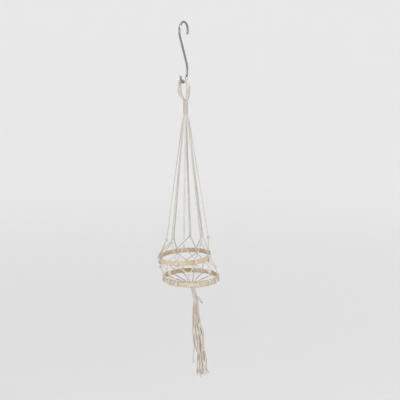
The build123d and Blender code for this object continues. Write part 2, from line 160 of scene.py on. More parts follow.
# Inside the end of the gather's wrap: the bundle's middle (x, z) and how far it is opened there.
TASSEL_START_X, TASSEL_START_Z, TASSEL_START_OPENING = 21.3, -512.0, 0.52
TASSEL_FRAYED = 13 * MM
TASSEL_RADIUS = 1.13 * MM
# The loose end of the gather's wrap is doubled: its two strands meet at the tip.
WRAP_TAIL_POINTS = [
    (22.0, -3.9, -508.0), (24.0, -2.9, -508.6),
    (25.9, -1.2, -509.4), (29.8, -1.9, -511.8), (33.3, -2.7, -516.6), (36.1, -3.1, -522.4),
]
WRAP_TAIL_PARTNER = [
    (21.8, -3.6, -508.6), (23.6, -2.9, -510.2),
    (25.4, -2.6, -511.8), (28.6, -3.1, -514.9), (31.8, -3.2, -518.6), (35.2, -3.2, -522.2),
]
WRAP_TAIL_FRAYED = 5 * MM
WRAP_TAIL_RADIUS = 0.95 * MM


# ---- Camera -----------------------------------------------------------------------------------
def make_camera():
    """Looks slightly down along +Y from 2.2 metres, as in the photograph."""
    aim = Vector((30.4, 0.0, -318.4)) * MM
    distance, elevation = 2.2, math.radians(12.0)
    data = bpy.data.cameras.new("camera")
    data.sensor_width = 36.0
    data.lens = 104.2
    camera = bpy.data.objects.new("camera", data)
    back = Vector((0, -math.cos(elevation), math.sin(elevation)))
    camera.location = aim + back * distance
    camera.rotation_mode = "QUATERNION"
    camera.rotation_quaternion = (-back).to_track_quat("-Z", "Y")
    bpy.context.collection.objects.link(camera)
    bpy.context.scene.camera = camera


make_camera()


# ---- Reading places from the frame ------------------------------------------------------------
def islands(node):
    """The vertices of each separate solid of a CAD node, in the order of the solids."""
    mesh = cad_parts[node].data
    count = len(mesh.vertices)
    points = np.empty(count * 3)
    mesh.vertices.foreach_get("co", points)
    points = points.reshape(-1, 3)
    # Vertices at one place belong together, even where the mesh is split there.
    keys = np.unique(np.round(points, 7), axis=0, return_inverse=True)[1].ravel()
    parent = list(range(keys.max() + 1))

    def root(i):
        while parent[i] != i:
            parent[i] = parent[parent[i]]
            i = parent[i]
        return i

    for edge in mesh.edges:
        a, b = root(keys[edge.vertices[0]]), root(keys[edge.vertices[1]])
        if a != b:
            parent[max(a, b)] = min(a, b)
    groups = {}
    for i in range(count):
        groups.setdefault(root(keys[i]), []).append(i)
    return [points[group] for group in groups.values()]


def straight_runs(node):
    """The two ends of each straight round solid of a CAD node, upper end first."""
    runs = []
    for points in islands(node):
        middle = points.mean(axis=0)
        axis = np.linalg.svd(points - middle, full_matrices=False)[2][0]
        along = (points - middle) @ axis
        first = points[along > along.max() - 1e-5].mean(axis=0)
        last = points[along < along.min() + 1e-5].mean(axis=0)
        ends = [first, last]
        runs.append(sorted(ends, key=lambda p: -p[2]))
    return runs


def unit(vector):
    return vector / np.linalg.norm(vector)


def random_angle():
    return random.random() * 6.28


def horizontal_angle(point, centre):
    return math.atan2(point[1] - centre[1], point[0] - centre[0])


# ---- Rope geometry ----------------------------------------------------------------------------
def spline_points(control, resolution=14):
    """Points along the smooth NURBS line that has these control points."""
    curve = bpy.data.curves.new("route", "CURVE")
    curve.dimensions = "3D"
    curve.resolution_u = resolution
    spline = curve.splines.new("NURBS")
    spline.points.add(len(control) - 1)
    for point, place in zip(spline.points, control):
        point.co = (*place, 1.0)
    spline.order_u = 3
    spline.use_endpoint_u = True
    holder = bpy.data.objects.new("route", curve)
    mesh = bpy.data.meshes.new_from_object(holder)
    points = np.array([tuple(v.co) for v in mesh.vertices])
    bpy.data.objects.remove(holder)
    bpy.data.curves.remove(curve)
    bpy.data.meshes.remove(mesh)
    return points


def travel(points):
    """How far along the line each point is."""
    steps = np.linalg.norm(np.diff(points, axis=0), axis=1)
    return np.concatenate(([0.0], np.cumsum(steps)))


def evenly(points, step):
    """The same line with evenly spaced points."""
    along = travel(points)
    count = max(3, int(round(along[-1] / step)) + 1)
    wanted = np.linspace(0, along[-1], count)
    return np.stack([np.interp(wanted, along, points[:, k]) for k in range(3)], axis=1)


def softened(points, passes):
    """The line with its sharp turns eased, and its two ends kept."""
    eased = points.copy()
    for _ in range(passes):
        eased[1:-1] = 0.25 * eased[:-2] + 0.5 * eased[1:-1] + 0.25 * eased[2:]
    return eased


def carried_frames(points, first=None):
    """Tangents, and normals carried along the line without twisting."""
    tangents = np.gradient(points, axis=0)
    tangents /= np.linalg.norm(tangents, axis=1)[:, None]
    normal = np.array((0.3, 0.9, 0.2)) if first is None else first
    normals = np.empty_like(points)
    for i, tangent in enumerate(tangents):
        normal = unit(normal - tangent * (normal @ tangent))
        normals[i] = normal
    return tangents, normals


class Cordage:
    """Collects tubes into one mesh, with UVs along and around each, a groove attribute that masks painted
    shade, and a tone attribute.
    """

    def __init__(self):
        self.points, self.faces, self.uvs, self.groove, self.tone = [], [], [], [], []
        self.count = 0

    def tube(self, line, radius, lobes=3, depth=0.2, pitch=PITCH, sides=15, phase=0.0, tone=None):
        """Adds a laid strand along line. radius is one number or one for each point."""
        rings = len(line)
        tangents, normals = carried_frames(line)
        sideways = np.cross(tangents, normals)
        along = travel(line)
        around = np.arange(sides) * 2 * math.pi / sides
        ridge = np.abs(np.cos(lobes * around / 2)) if lobes else np.ones(sides)
        spin = phase + 2 * math.pi * along / pitch
        angle = around[None, :] + spin[:, None]
        radii = np.broadcast_to(np.asarray(radius, float), (rings,))
        reach = radii[:, None] * (1 - depth * (1 - ridge))[None, :]
        ring = normals[:, None, :] * np.cos(angle)[..., None]
        ring = ring + sideways[:, None, :] * np.sin(angle)[..., None]
        points = line[:, None, :] + ring * reach[..., None]
        base = self.count
        self.points.append(points.reshape(-1, 3))
        self.groove.append(np.tile(1 - ridge, rings))
        tone = random.random() if tone is None else tone
        self.tone.append(np.full(rings * sides, tone))
        grid = base + np.arange(rings * sides).reshape(rings, sides)
        nxt = np.roll(grid, -1, axis=1)
        quads = np.stack((grid[:-1], nxt[:-1], nxt[1:], grid[1:]), axis=-1).reshape(-1, 4)
        self.faces.extend(quads.tolist())
        u = along / 0.02
        v = np.arange(sides + 1) / sides
        u0, u1 = np.repeat(u[:-1], sides), np.repeat(u[1:], sides)
        v0, v1 = np.tile(v[:-1], rings - 1), np.tile(v[1:], rings - 1)
        corners = np.stack((u0, v0, u0, v1, u1, v1, u1, v0), axis=1)
        self.uvs.append(corners.reshape(-1, 2))
        self.faces.append(grid[0][::-1].tolist())
        self.faces.append(grid[-1].tolist())
        cap = np.stack((0.5 + 0.5 * np.cos(around), 0.5 + 0.5 * np.sin(around)), axis=1)
        self.uvs.append(cap[::-1])
        self.uvs.append(cap)
        self.count += rings * sides

    def finish(self, name, material, slot):
        mesh = bpy.data.meshes.new(name)
        mesh.from_pydata(np.concatenate(self.points).tolist(), [], self.faces)
        layer = mesh.uv_layers.new(name="UVMap")
        layer.data.foreach_set("uv", np.concatenate(self.uvs).astype(np.float32).ravel())
        for label, values in (("groove", self.groove), ("tone", self.tone)):
            attribute = mesh.attributes.new(label, "FLOAT", "POINT")
            attribute.data.foreach_set("value", np.concatenate(values).astype(np.float32))
        mesh.polygons.foreach_set("use_smooth", [True] * len(mesh.polygons))
        mesh.materials.append(material)
        mesh.update()
        piece = bpy.data.objects.new(name, mesh)
        bpy.context.collection.objects.link(piece)
        return piece


# ---- Materials --------------------------------------------------------------------------------
class Nodes:
    """A short way to build a node tree: add a node, set its inputs, link it."""

    def __init__(self, name):
        self.material = bpy.data.materials.new(name)
        self.material.use_nodes = True
        self.tree = self.material.node_tree
        self.shader = self.tree.nodes["Principled BSDF"]

    def add(self, kind, **settings):
        node = self.tree.nodes.new(kind)
        for key, value in settings.items():
            if hasattr(node, key):
                setattr(node, key, value)
        return node

    def link(self, output, target):
        self.tree.links.new(output, target)

    def math(self, operation, first, second):
        node = self.add("ShaderNodeMath", operation=operation)
        for socket, value in zip(node.inputs, (first, second)):
            if isinstance(value, (int, float)):
                socket.default_value = value
            else:
                self.link(value, socket)
        return node.outputs[0]

    def noise(self, vector, scale, detail=3.0, roughness=0.55):
        node = self.add("ShaderNodeTexNoise")
        node.inputs["Scale"].default_value = scale
        node.inputs["Detail"].default_value = detail
        node.inputs["Roughness"].default_value = roughness
        self.link(vector, node.inputs["Vector"])
        return node.outputs["Fac"]

    def stretched(self, coordinates, scale):
        node = self.add("ShaderNodeMapping")
        node.inputs["Scale"].default_value = scale
        self.link(coordinates, node.inputs["Vector"])
        return node.outputs["Vector"]

    def ramp(self, factor, stops):
        node = self.add("ShaderNodeValToRGB")
        elements = node.color_ramp.elements
        while len(elements) < len(stops):
            elements.new(0.5)
        for element, (place, colour) in zip(elements, stops):
            element.position = place
            element.color = (*colour, 1.0)
        self.link(factor, node.inputs["Fac"])
        return node.outputs["Color"]

    def mix(self, factor, first, second, blend="MIX"):
        node = self.add("ShaderNodeMix", data_type="RGBA", blend_type=blend)
        sockets = (node.inputs[0], node.inputs[6], node.inputs[7])
        for socket, value in zip(sockets, (factor, first, second)):
            if isinstance(value, (int, float)):
                socket.default_value = value
            elif isinstance(value, tuple):
                socket.default_value = (*value, 1.0)
            else:
                self.link(value, socket)
        return node.outputs[2]

    def attribute(self, name):
        node = self.add("ShaderNodeAttribute", attribute_name=name)
        return node.outputs["Fac"]

    def bump(self, height, strength, distance):
        node = self.add("ShaderNodeBump")
        node.inputs["Strength"].default_value = strength
        node.inputs["Distance"].default_value = distance
        self.link(height, node.inputs["Height"])
        self.link(node.outputs["Normal"], self.shader.inputs["Normal"])


def cotton_material(name, pale, warm, deep):
    """Laid cotton: fibres run along each ply, the grooves between plies are painted darker as painted
    shade.
    """
    n = Nodes(name)
    place = n.add("ShaderNodeTexCoord")
    fibres = n.noise(n.stretched(place.outputs["UV"], (2.2, 26.0, 1.0)), 3.0, 5.0, 0.65)
    patches = n.noise(place.outputs["Object"], 95.0, 3.0)
    slubs = n.noise(n.stretched(place.outputs["UV"], (1.6, 3.0, 1.0)), 2.0, 2.0)
    base = n.ramp(patches, [(0.30, warm), (0.62, pale)])
    base = n.mix(n.math("MULTIPLY", n.attribute("tone"), 0.55), base, warm)
    # Painted shade: the grooves between the plies are darkened towards the deep colour.
    base = n.mix(n.math("MULTIPLY", n.math("POWER", n.attribute("groove"), 1.4), 0.75), base, deep)
    streaks = n.ramp(fibres, [(0.32, (0.86, 0.84, 0.80)), (0.62, (1.0, 1.0, 1.0))])
    base = n.mix(0.75, base, streaks, "MULTIPLY")
    n.link(base, n.shader.inputs["Base Color"])
    n.link(n.math("ADD", n.math("MULTIPLY", fibres, 0.16), 0.80), n.shader.inputs["Roughness"])
    n.shader.inputs["Specular IOR Level"].default_value = 0.25
    n.shader.inputs["Sheen Weight"].default_value = 0.35
    n.shader.inputs["Sheen Roughness"].default_value = 0.45
    n.bump(n.math("ADD", fibres, n.math("MULTIPLY", slubs, 0.4)), 0.7, 0.00025)
    return n.material


def bamboo_material():
    """A split-bamboo strip: long straight grain, pale outside and browner inside, the inside partly its
    own less finished face and partly painted shade.
    """
    n = Nodes("bamboo")
    place = n.add("ShaderNodeTexCoord")
    grain = n.noise(n.stretched(place.outputs["UV"], (0.9, 34.0, 1.0)), 2.2, 6.0, 0.7)
    bands = n.noise(n.stretched(place.outputs["UV"], (0.35, 7.0, 1.0)), 2.0, 3.0)
    stains = n.noise(place.outputs["Object"], 27.0, 3.0)
    outside = [
        (0.28, (0.335, 0.245, 0.158)), (0.50, (0.49, 0.405, 0.295)), (0.75, (0.585, 0.505, 0.40)),
    ]
    # The inside face: partly the strip's own browner, less finished face and partly painted shade from
    # inside the hoop.
    inside_tone_and_shade = [
        (0.28, (0.275, 0.168, 0.086)), (0.52, (0.455, 0.315, 0.188)), (0.78, (0.58, 0.44, 0.285)),
    ]
    outer = n.ramp(grain, outside)
    inner = n.ramp(grain, inside_tone_and_shade)
    base = n.mix(n.attribute("inside"), outer, inner)
    base = n.mix(n.math("MULTIPLY", bands, 0.30), base, (0.61, 0.51, 0.375))
    pale = n.noise(place.outputs["Object"], 19.0, 2.0)
    stained = n.ramp(stains, [(0.50, (0, 0, 0)), (0.68, (0.62, 0.62, 0.62))])
    paled = n.ramp(pale, [(0.50, (0, 0, 0)), (0.70, (0.55, 0.55, 0.55))])
    base = n.mix(stained, base, (0.34, 0.215, 0.115))
    base = n.mix(paled, base, (0.61, 0.55, 0.415))
    base = n.mix(n.math("MULTIPLY", n.attribute("edge"), 0.35), base, (0.36, 0.21, 0.10))
    n.link(base, n.shader.inputs["Base Color"])
    n.link(n.math("ADD", n.math("MULTIPLY", grain, 0.25), 0.36), n.shader.inputs["Roughness"])
    n.shader.inputs["Specular IOR Level"].default_value = 0.4
    n.bump(grain, 0.45, 0.0002)
    return n.material


def chrome_material():
    """Chromed wire, its colour darkened as a painted reflection of a dark room, with faint drawing marks
    along it and slight haze.
    """
    n = Nodes("chrome")
    place = n.add("ShaderNodeTexCoord")
    haze = n.noise(place.outputs["Object"], 160.0, 4.0)
    marks = n.noise(n.stretched(place.outputs["Object"], (900.0, 900.0, 60.0)), 1.0, 2.0)
    # Painted reflection: the metal's colour is set dark to stand in for the dark room it reflects.
    metal_painted_dark_reflection = n.ramp(haze, [(0.3, (0.24, 0.245, 0.255)), (0.7, (0.31, 0.315, 0.33))])
    n.link(metal_painted_dark_reflection, n.shader.inputs["Base Color"])
    n.shader.inputs["Metallic"].default_value = 1.0
    n.link(n.math("ADD", n.math("MULTIPLY", haze, 0.14), 0.10), n.shader.inputs["Roughness"])
    n.bump(marks, 0.08, 0.00005)
    return n.material


# Each cotton: its pale and its warm tone, and the deep one painted as shade in its grooves. The net and
# the base are painted darker, as painted shade for strands seen in shade against the bright wall.
COTTON = cotton_material("cotton", (0.70, 0.683, 0.64), (0.61, 0.578, 0.535), (0.34, 0.30, 0.255))
NET_COTTON_PAINTED_SHADE = cotton_material("net_cotton_painted_shade", (0.59, 0.57, 0.53), (0.51, 0.48, 0.44), (0.285, 0.25, 0.21))
# The base's cotton is painted darker still, as painted shade inside the basket.
BASE_COTTON_PAINTED_SHADE = cotton_material("base_cotton_painted_shade", (0.50, 0.48, 0.44), (0.44, 0.41, 0.37), (0.25, 0.215, 0.18))
# The gather's cotton is painted lighter, as painted light against the shadow of the lower hoop above it.
GATHER_COTTON_PAINTED_LIGHT = cotton_material(
    "gather_cotton_painted_light", (0.84, 0.80, 0.75), (0.74, 0.70, 0.65), (0.40, 0.355, 0.305)
)
LOOSE_COTTON = cotton_material(
    "loose_cotton", (0.77, 0.705, 0.635), (0.66, 0.585, 0.52), (0.35, 0.285, 0.23)
)
WRAP_COTTON = cotton_material("wrap_cotton", (0.72, 0.64, 0.59), (0.62, 0.54, 0.49), (0.34, 0.275, 0.235))
BAMBOO = bamboo_material()
CHROME = chrome_material()


# ---- Where things are, read from the CAD ------------------------------------------------------
class Hoop:
    """A hoop's place and size, from its CAD node."""

    def __init__(self, node):
        points = np.concatenate(islands(node))
        low, high = points.min(axis=0), points.max(axis=0)
        self.centre = (low + high) / 2
        # The upper hoop leans to one side: its axis is the direction in which it is thinnest.
        axis = np.linalg.svd(points - self.centre, full_matrices=False)[2][2]
        self.axis = axis if axis[2] > 0 else -axis
        self.right = unit(np.array((1.0, 0, 0)) - self.axis * self.axis[0])
        self.back = np.cross(self.axis, self.right)
        across = points - self.centre
        flat = np.linalg.norm(across - np.outer(across @ self.axis, self.axis), axis=1)
        self.outer, self.inner = flat.max(), flat.min()
        self.height = np.ptp(across @ self.axis)
        self.middle = (self.outer + self.inner) / 2

    def outward(self, angle):
        return self.right * math.cos(angle) + self.back * math.sin(angle)

    def point(self, angle, out, rise):
        """A point by its angle, its distance outward from the strip's middle, and its rise."""
        return self.centre + self.outward(angle) * (self.middle + out) + self.axis * rise

    def angle_of(self, place):
        across = place - self.centre
        return math.atan2(across @ self.back, across @ self.right)


upper_hoop = Hoop("upper_hoop")
lower_hoop = Hoop("lower_hoop")


def island_middles(node):
    return [points.mean(axis=0) for points in islands(node)]


first_knots = island_middles("first_row_knots")
middle_knots = island_middles("middle_knots")
neck_low, neck_high = (np.array(corner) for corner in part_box("neck_wrap"))
neck_axis = np.array((NECK_AXIS_X, 0.0, 0.0))
knot_middle = np.mean(first_knots, axis=0)


def by_angle(places, centre):
    """Places in order round the centre, starting from the right (+X)."""
    return sorted(places, key=lambda p: (horizontal_angle(p, centre) + 0.3) % (2 * math.pi))


first_knots = by_angle(first_knots, knot_middle)
middle_knots = by_angle(middle_knots, np.mean(middle_knots, axis=0))
upper_hitches = sorted(upper_hoop.angle_of(p) % (2 * math.pi) for p in island_middles("upper_lashings"))
lower_hitches = sorted(
    (lower_hoop.angle_of(p) + 0.3) % (2 * math.pi) - 0.3 for p in island_middles("lower_lashings")
)
CORDS = len(first_knots)


# ---- Hoops ------------------------------------------------------------------------------------
def make_hoop(name, hoop, scarf_angle, body, node):
    """A flat strip bent round until its tapered ends lap over each other."""
    steps, overlap = 260, math.radians(20)
    # Section corners: (across the thickness, up the height, inside share, edge share)
    section = [
        (0.5, -0.36, 0, 0), (0.5, 0.0, 0, 0), (0.5, 0.36, 0, 0), (0.46, 0.455, 0, 1),
        (0.26, 0.5, 0.2, 1), (-0.26, 0.5, 0.8, 1), (-0.46, 0.455, 1, 1), (-0.5, 0.36, 1, 0),
        (-0.5, 0.0, 1, 0), (-0.5, -0.36, 1, 0), (-0.46, -0.455, 1, 1), (-0.26, -0.5, 0.8, 1),
        (0.26, -0.5, 0.2, 1), (0.46, -0.455, 0, 1),
    ]
    grain_repeats = 16
    thickness = hoop.outer - hoop.inner
    span = 2 * math.pi + overlap
    points, inside, edges = [], [], []
    wobble = random.random() * 6
    for i in range(steps + 1):
        share = i / steps
        angle = scarf_angle + span * share
        from_start, to_end = span * share, span * (1 - share)
        # The lapped ends thin to a feather edge: the first keeps inside, the last outside.
        thin = min(1.0, 0.10 + 0.90 * min(from_start, to_end) / overlap)
        shift = 0.0
        if from_start < overlap:
            shift = -0.5 * thickness * (1 - thin)
        if to_end < overlap:
            shift = 0.5 * thickness * (1 - thin)
        ripple = 0.00018 * math.sin(2 * angle + wobble) + 0.00007 * math.sin(7 * angle)
        for across, rise, in_share, edge_share in section:
            out = shift + across * thickness * thin + ripple
            up = rise * hoop.height * (1 + 0.012 * math.sin(5 * angle))
            points.append(hoop.point(angle, out, up))
            inside.append(in_share)
            edges.append(edge_share)
    ring = len(section)
    faces, uvs = [], []
    corners = [corner[:2] for corner in section]
    sides = [math.dist(corners[k], corners[(k + 1) % ring]) for k in range(ring)]
    lengths = np.cumsum([0] + sides)
    lengths = lengths / lengths[-1]
    for i in range(steps):
        for k in range(ring):
            a, b = i * ring + k, i * ring + (k + 1) % ring
            faces.append((a, b, b + ring, a + ring))
            u0, u1 = i / steps * grain_repeats, (i + 1) / steps * grain_repeats
            uvs += [(u0, lengths[k]), (u0, lengths[k + 1]), (u1, lengths[k + 1]), (u1, lengths[k])]
    faces.append(tuple(range(ring))[::-1])
    faces.append(tuple(steps * ring + k for k in range(ring)))
    uvs += [(0.02 * k, 0.3) for k in range(ring)] * 2
    mesh = bpy.data.meshes.new(name)
    mesh.from_pydata([tuple(p) for p in points], [], faces)
    mesh.uv_layers.new(name="UVMap").data.foreach_set("uv", np.array(uvs, np.float32).ravel())
    # The inside share marks the face painted browner, partly its own colour and partly painted shade.
    for label, values in (("inside", inside), ("edge", edges)):
        attribute = mesh.attributes.new(label, "FLOAT", "POINT")
        attribute.data.foreach_set("value", np.array(values, np.float32))
    mesh.polygons.foreach_set("use_smooth", [True] * len(mesh.polygons))
    mesh.materials.append(BAMBOO)
    piece = bpy.data.objects.new(name, mesh)
    bpy.context.collection.objects.link(piece)
    sharp = piece.modifiers.new("weighted_normals", "WEIGHTED_NORMAL")
    sharp.keep_sharp = True
    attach(piece, body)
    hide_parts(node)


# ---- Free cords first: the suspension lines and the tassel ------------------------------------
def lay_cord(name, control, material, frayed=0.0, radius=STRAND / 2):
    """One strand along the smooth line of its control points."""
    line = evenly(spline_points(control), STRAND_STEP)
    rope = Cordage()
    lay_strand(rope, line, frayed, radius)
    return rope.finish(name, material, "cotton_cord"), line


def lay_strand(rope, line, frayed=0.0, radius=STRAND / 2):
    """A laid strand. Over its last stretch the plies open and their fibres spread."""
    phase, tone = random_angle(), random.random()
    if not frayed:
        rope.tube(line, radius, phase=phase, tone=tone)
        return
    along = travel(line)
    split = int(np.searchsorted(along, along[-1] - frayed))
    taper = np.ones(split + 2)
    taper[-4:] = (0.97, 0.9, 0.78, 0.62)
    rope.tube(line[: split + 2], radius * taper, phase=phase, tone=tone)
    tail = evenly(line[split - 1:], OPEN_STEP)
    share = np.linspace(0, 1, len(tail))
    tangents, normals = carried_frames(tail)
    sideways = np.cross(tangents, normals)
    for ply in range(3):
        start = phase + ply * 2 * math.pi / 3
        turn = start + 2 * math.pi * share * frayed / PITCH * 0.6
        spread = radius * (0.42 + 0.95 * share**1.3 * random.uniform(0.6, 1.25))
        path = tail + normals * (np.cos(turn) * spread)[:, None]
        path = path + sideways * (np.sin(turn) * spread)[:, None]
        keep = len(path) - random.randint(0, 2)
        thinning = radius * (0.56 - 0.22 * share[:keep])
        rope.tube(path[:keep], thinning, lobes=5, depth=0.16, sides=10, pitch=PITCH / 2, tone=tone)
        for _ in range(FRAY_FIBRES):
            lean = random_angle()
            reach = radius * random.uniform(0.4, 1.2)
            first = random.randint(len(path) // 4, len(path) // 2)
            bit = share[first:] - share[first]
            curl = normals[first:] * math.cos(lean) + sideways[first:] * math.sin(lean)
            fibre = path[first:] + curl * (reach * bit**1.3)[:, None] * 1.2
            rope.tube(fibre, FIBRE_RADIUS * (1.15 - share[first:]), lobes=0, sides=5, tone=tone)


for n in range(CORDS):
    runs = straight_runs(f"suspension_cord_{n + 1}")
    for letter, (top, bottom) in zip("ab", runs):
        direction = unit(bottom - top)
        radial = unit((top - neck_axis) * (1, 1, 0))
        inside = neck_axis + radial * NECK_INSIDE_RADIUS
        inside[2] = top[2] + NECK_INSIDE_RISE
        lip = neck_axis + radial * NECK_LIP_RADIUS
        lip[2] = top[2] - NECK_LIP_DROP
        control = [inside, lip, top + direction * FAN_START, bottom + direction * INTO_KNOT]
        piece, line = lay_cord(f"suspension_{n + 1}{letter}", control, COTTON)
        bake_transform(piece)
        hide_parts(f"suspension_cord_{n + 1}")

places = []
for count, ring, first in TASSEL_RINGS:
    for k in range(count):
        turn = math.radians(first + k * 360 / count)
        places.append((ring * math.cos(turn), ring * math.sin(turn)))

for n, ((across, deep), stray) in enumerate(zip(places, TASSEL_STRAY)):
    levels = TASSEL_LEVELS[:-1] if n + 1 == SHORT_STRAND else TASSEL_LEVELS
    kinks = KINKS[n % len(KINKS)]
    if n + 1 == SHORT_STRAND:
        kinks = [(x + drift, y) for (x, y), drift in zip(kinks, SHORT_STRAND_DRIFT)]
    # Each strand starts inside the end of the gather's wrap, where the bundle is tight.
    start_x = TASSEL_START_X + across * TASSEL_START_OPENING
    route = [(start_x, deep * TASSEL_START_OPENING, TASSEL_START_Z)]
    marks = sorted([*zip(levels, stray), *zip(KINK_LEVELS, kinks)], key=lambda mark: -mark[0][1])
    for (middle, height, opening), (stray_x, stray_y) in marks:
        route.append((middle + across * opening + stray_x, deep * opening + stray_y, height))
    last = route[-1]
    route[-1] = (last[0], last[1], last[2] + TASSEL_ENDS[n])
    control = np.array(route) * MM
    piece, line = lay_cord(f"tassel_{n + 1}", control, LOOSE_COTTON, TASSEL_FRAYED, TASSEL_RADIUS)
    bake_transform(piece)
    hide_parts(f"tassel_strand_{n + 1}")


make_hoop("upper_hoop_strip", upper_hoop, math.radians(318), "upper_basket", "upper_hoop")
make_hoop("lower_hoop_strip", lower_hoop, math.radians(200), "lower_basket", "lower_hoop")


# ---- The net ----------------------------------------------------------------------------------
def slack_line(start, end, before, after, amount):
    """A strand between two ties, reaching into both, that isn't quite straight."""
    direction = unit(end - start)
    start, end = start - direction * before, end + direction * after
    count = max(5, int(np.linalg.norm(end - start) / STRAND_STEP))
    share = np.linspace(0, 1, count)[:, None]
    anywhere = (random.gauss(0, 1), random.gauss(0, 1), random.gauss(0, 1))
    across = unit(np.cross(direction, anywhere))
    bow = across * amount * np.sin(math.pi * share) * random.uniform(0.4, 1.0)
    ripple = np.cross(direction, across) * amount * 0.5 * np.sin(2 * math.pi * share)
    ripple = ripple * random.uniform(-1, 1)
    return start + (end - start) * share + bow + ripple


for n in range(CORDS):
    upper = Cordage()
    for top, bottom in straight_runs(f"upper_net_cord_{n + 1}"):
        lay_strand(upper, slack_line(top, bottom, **UPPER_TIES))
    # The upper net's strands take the cotton painted darker as painted shade.
    piece = upper.finish(f"upper_net_{n + 1}", NET_COTTON_PAINTED_SHADE, "cotton_cord")
    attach(piece, "upper_basket")
    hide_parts(f"upper_net_cord_{n + 1}")

    middle = Cordage()
    for top, bottom in straight_runs(f"middle_net_cord_{n + 1}"):
        lay_strand(middle, slack_line(top, bottom, **MIDDLE_TIES))
    piece = middle.finish(f"middle_net_{n + 1}", COTTON, "cotton_cord")
    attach(piece, "upper_basket")
    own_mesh(piece)
    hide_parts(f"middle_net_cord_{n + 1}")


def tie_knot(rope, centre, reach, height, axis=UP, radius=0.92 * MM):
    """An overhand knot in a pair of strands: two turns, each a trefoil of one strand."""
    turn = random_angle()
    tip = unit(axis + np.array([random.gauss(0, 0.12) for _ in range(3)]))
    side = unit(np.cross(tip, (0.2, 0.6, 0.7)))
    ahead = np.cross(tip, side)
    share = np.linspace(0, 2 * math.pi, 97)
    for level, twist in ((0.5, 0.0), (-0.5, math.pi / 3)):
        swing = (reach - radius) * (0.66 + 0.34 * np.cos(3 * share + twist))
        angle = 2 * share + turn + twist
        rise = (height / 2 - radius) * (0.5 * np.sin(3 * share + twist) + level)
        line = centre + side * (swing * np.cos(angle))[:, None]
        line = line + ahead * (swing * np.sin(angle))[:, None]
        rope.tube(line + tip * rise[:, None], radius, phase=turn, sides=15)


knot_rope = Cordage()
for centre in first_knots:
    reach, height = random.uniform(*FIRST_KNOT_REACH), random.uniform(*FIRST_KNOT_HEIGHT)
    tie_knot(knot_rope, centre, reach * MM, height * MM)
first_row = knot_rope.finish("first_row", COTTON, "cotton_cord")
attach(first_row, "upper_basket")
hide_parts("first_row_knots")

knot_rope = Cordage()
for centre in middle_knots:
    reach, height = random.uniform(*MIDDLE_KNOT_REACH), random.uniform(*MIDDLE_KNOT_HEIGHT)
    tie_knot(knot_rope, centre, reach * MM, height * MM)
middle_row = knot_rope.finish("middle_row", COTTON, "cotton_cord")
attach(middle_row, "upper_basket")
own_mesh(middle_row)
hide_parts("middle_knots")


def hitch(rope, hoop, angle, width, radius, crossing, knotted):
    """Turns of a strand round the strip, side by side, and one crossing them on the outside."""
    out_reach = (hoop.outer - hoop.inner) / 2 + radius * 0.98
    rise_reach = hoop.height / 2 + radius * 0.98
    turns = 2
    share = np.linspace(0, 1, 220)
    swing = share * turns * 2 * math.pi + math.pi * 0.4
    power = 0.4  # gives the turns the rounded-rectangle section of the strip
    out = out_reach * np.sign(np.cos(swing)) * np.abs(np.cos(swing)) ** power
    rise = rise_reach * np.sign(np.sin(swing)) * np.abs(np.sin(swing)) ** power
    along = (share - 0.5) * width * (turns - 0.5) / turns
    along = along * (1 + 0.06 * np.sin(swing * 0.5)) + random.uniform(-0.1, 0.1) * MM
    places = zip(along, out, rise)
    points = np.array([hoop.point(angle + a / hoop.middle, o, r) for a, o, r in places])
    rope.tube(softened(evenly(points, HITCH_STEP), 2), radius, phase=random_angle(), sides=12)
    if crossing:
        share = np.linspace(-1, 1, 25)
        over = out_reach + radius * 1.25 * (1 - np.abs(share) ** 6)
        points = np.array([
            hoop.point(angle + crossing * s * width * 0.42 / hoop.middle, o, -s * (rise_reach - 0.2 * MM))
            for s, o in zip(share, over)
        ])
        rope.tube(points, radius * 0.95, phase=random_angle(), sides=12)
    if knotted:
        place = hoop.point(angle, out_reach + radius * 1.1, -0.6 * MM)
        tie_knot(rope, place, 3.1 * MM, 3.6 * MM, axis=hoop.outward(angle), radius=0.85 * MM)


for node, hoop, angles, width, radius, body, knotted in (
    ("upper_lashings", upper_hoop, upper_hitches, 4.4 * MM, 0.94 * MM, "upper_basket", (1, 4, 5, 6)),
    ("lower_lashings", lower_hoop, lower_hitches, 3.6 * MM, 0.84 * MM, "lower_basket", (2, 6, 9, 11, 13)),
):
    rope = Cordage()
    for k, angle in enumerate(angles):
        crossing = 0 if node == "lower_lashings" and k % 3 == 0 else (1, -1)[k % 2]
        hitch(rope, hoop, angle, width, radius, crossing, k in knotted)
    piece = rope.finish(node.replace("lashings", "hitches"), COTTON, "cotton_cord")
    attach(piece, body)
    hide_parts(node)


# ---- Gather: the base strands run in, turn down and are wrapped -------------------------------
gather_down = np.array((math.sin(GATHER_LEAN), 0.0, -math.cos(GATHER_LEAN)))
gather_side = np.array((math.cos(GATHER_LEAN), 0.0, math.sin(GATHER_LEAN)))
gather_back = np.array((0.0, 1.0, 0.0))


def gather_point(radius, angle, down):
    ray = gather_side * math.cos(angle) + gather_back * math.sin(angle)
    return GATHER_TOP + ray * radius + gather_down * down


